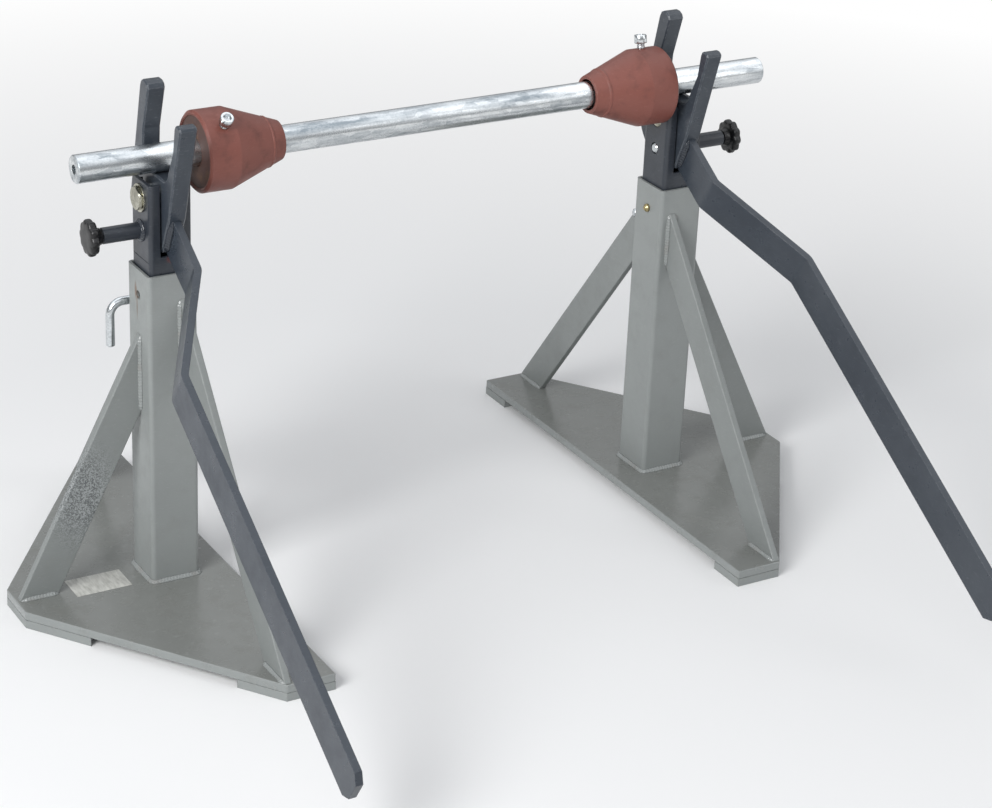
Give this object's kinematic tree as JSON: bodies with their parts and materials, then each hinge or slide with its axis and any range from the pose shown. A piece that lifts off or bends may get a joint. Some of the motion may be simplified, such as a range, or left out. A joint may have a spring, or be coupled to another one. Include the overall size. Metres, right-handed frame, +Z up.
{
  "type": "cable drum jack",
  "caption": "Cable drum jack: steel stands with height-adjustable fork heads and lifting levers, carrying a round shaft with clamping cones for a drum.",
  "frame": {"origin": "on the floor, at the centre of the whole part's footprint", "axes": "+X along the shaft towards the right stand, +Y away from the operator and the levers, +Z up"},
  "size_m": [1.24, 1.092, 0.726],
  "materials": {
    "grey_paint": "satin grey paint, scuffed",
    "dark_paint": "satin dark grey paint",
    "red_paint": "matt oxide red primer, rubbed at the edges",
    "zinc": "hot-dip zinc with spangle",
    "plated_steel": "bright zinc plate",
    "black_plastic": "matt black",
    "brass": "dull brass"
  },
  "bodies": {
    "stand_left": {"base_plate_left": "grey_paint", "foot_pads_left": "grey_paint", "column_left": "grey_paint", "brace_outer_left": "grey_paint", "brace_front_left": "grey_paint", "brace_back_left": "grey_paint", "guide_screw_left": "brass"},
    "head_left": {"inner_tube_left": "dark_paint", "pivot_bolt_left": "plated_steel", "pivot_washer_left": "plated_steel", "pivot_spacers_left": "plated_steel", "plunger_sleeve_left": "dark_paint"},
    "lever_left": {"cradle_plate_left": "dark_paint", "lever_arm_left": "dark_paint"},
    "plunger_left": {"plunger_pin_left": "plated_steel", "star_knob_left": "black_plastic"},
    "pin_left": {"height_pin_left": "plated_steel"},
    "stand_right": {"base_plate_right": "grey_paint", "foot_pads_right": "grey_paint", "column_right": "grey_paint", "brace_outer_right": "grey_paint", "brace_front_right": "grey_paint", "brace_back_right": "grey_paint", "guide_screw_right": "brass"},
    "head_right": {"inner_tube_right": "dark_paint", "pivot_bolt_right": "plated_steel", "pivot_washer_right": "plated_steel", "pivot_spacers_right": "plated_steel", "plunger_sleeve_right": "dark_paint"},
    "lever_right": {"cradle_plate_right": "dark_paint", "lever_arm_right": "dark_paint"},
    "plunger_right": {"plunger_pin_right": "plated_steel", "star_knob_right": "black_plastic"},
    "pin_right": {"height_pin_right": "plated_steel"},
    "shaft": {"shaft": "zinc"},
    "cone_left": {"cone_shell_left": "red_paint", "cone_web_left": "red_paint"},
    "cone_screw_left": {"cone_screw_left": "plated_steel"},
    "cone_right": {"cone_shell_right": "red_paint", "cone_web_right": "red_paint"},
    "cone_screw_right": {"cone_screw_right": "plated_steel"}
  },
  "joints": [
    {"name": "stand_spacing", "type": "slide", "parent": "stand_left", "child": "stand_right", "axis": [1, 0, 0], "range_m": [0, 0.12]},
    {"name": "height_left", "type": "slide", "parent": "stand_left", "child": "head_left", "axis": [0, 0, 1], "range_m": [0, 0.15]},
    {"name": "height_right", "type": "slide", "parent": "stand_right", "child": "head_right", "axis": [0, 0, 1], "range_m": [0, 0.15]},
    {"name": "lift_left", "type": "hinge", "parent": "head_left", "child": "lever_left", "pos_m": [-0.4, 0.186, 0.576], "axis": [-1, 0, 0], "range_deg": [0, 80]},
    {"name": "lift_right", "type": "hinge", "parent": "head_right", "child": "lever_right", "pos_m": [0.4, 0.186, 0.576], "axis": [-1, 0, 0], "range_deg": [0, 80]},
    {"name": "plunger_pull_left", "type": "slide", "parent": "head_left", "child": "plunger_left", "axis": [-1, 0, 0], "range_m": [0, 0.046]},
    {"name": "plunger_pull_right", "type": "slide", "parent": "head_right", "child": "plunger_right", "axis": [1, 0, 0], "range_m": [0, 0.046]},
    {"name": "pin_pull_left", "type": "slide", "parent": "stand_left", "child": "pin_left", "axis": [-1, 0, 0], "range_m": [0, 0.06]},
    {"name": "pin_pull_right", "type": "slide", "parent": "stand_right", "child": "pin_right", "axis": [1, 0, 0], "range_m": [0, 0.06]},
    {"name": "shaft_turn", "type": "hinge", "parent": "lever_left", "child": "shaft", "pos_m": [0, 0.186, 0.6275], "axis": [1, 0, 0], "continuous": true},
    {"name": "cone_shift_left", "type": "slide", "parent": "shaft", "child": "cone_left", "axis": [1, 0, 0], "range_m": [0, 0.12]},
    {"name": "cone_shift_right", "type": "slide", "parent": "shaft", "child": "cone_right", "axis": [-1, 0, 0], "range_m": [0, 0.12]},
    {"name": "cone_screw_out_left", "type": "slide", "parent": "cone_left", "child": "cone_screw_left", "axis": [0, -0.6157, 0.788], "range_m": [0, 0.008]},
    {"name": "cone_screw_out_right", "type": "slide", "parent": "cone_right", "child": "cone_screw_right", "axis": [0, 0.2079, 0.9781], "range_m": [0, 0.008]}
  ],
  "couplings": [
    {"joint": "height_right", "follows": "height_left", "ratio": 1},
    {"joint": "lift_right", "follows": "lift_left", "ratio": 1}
  ]
}
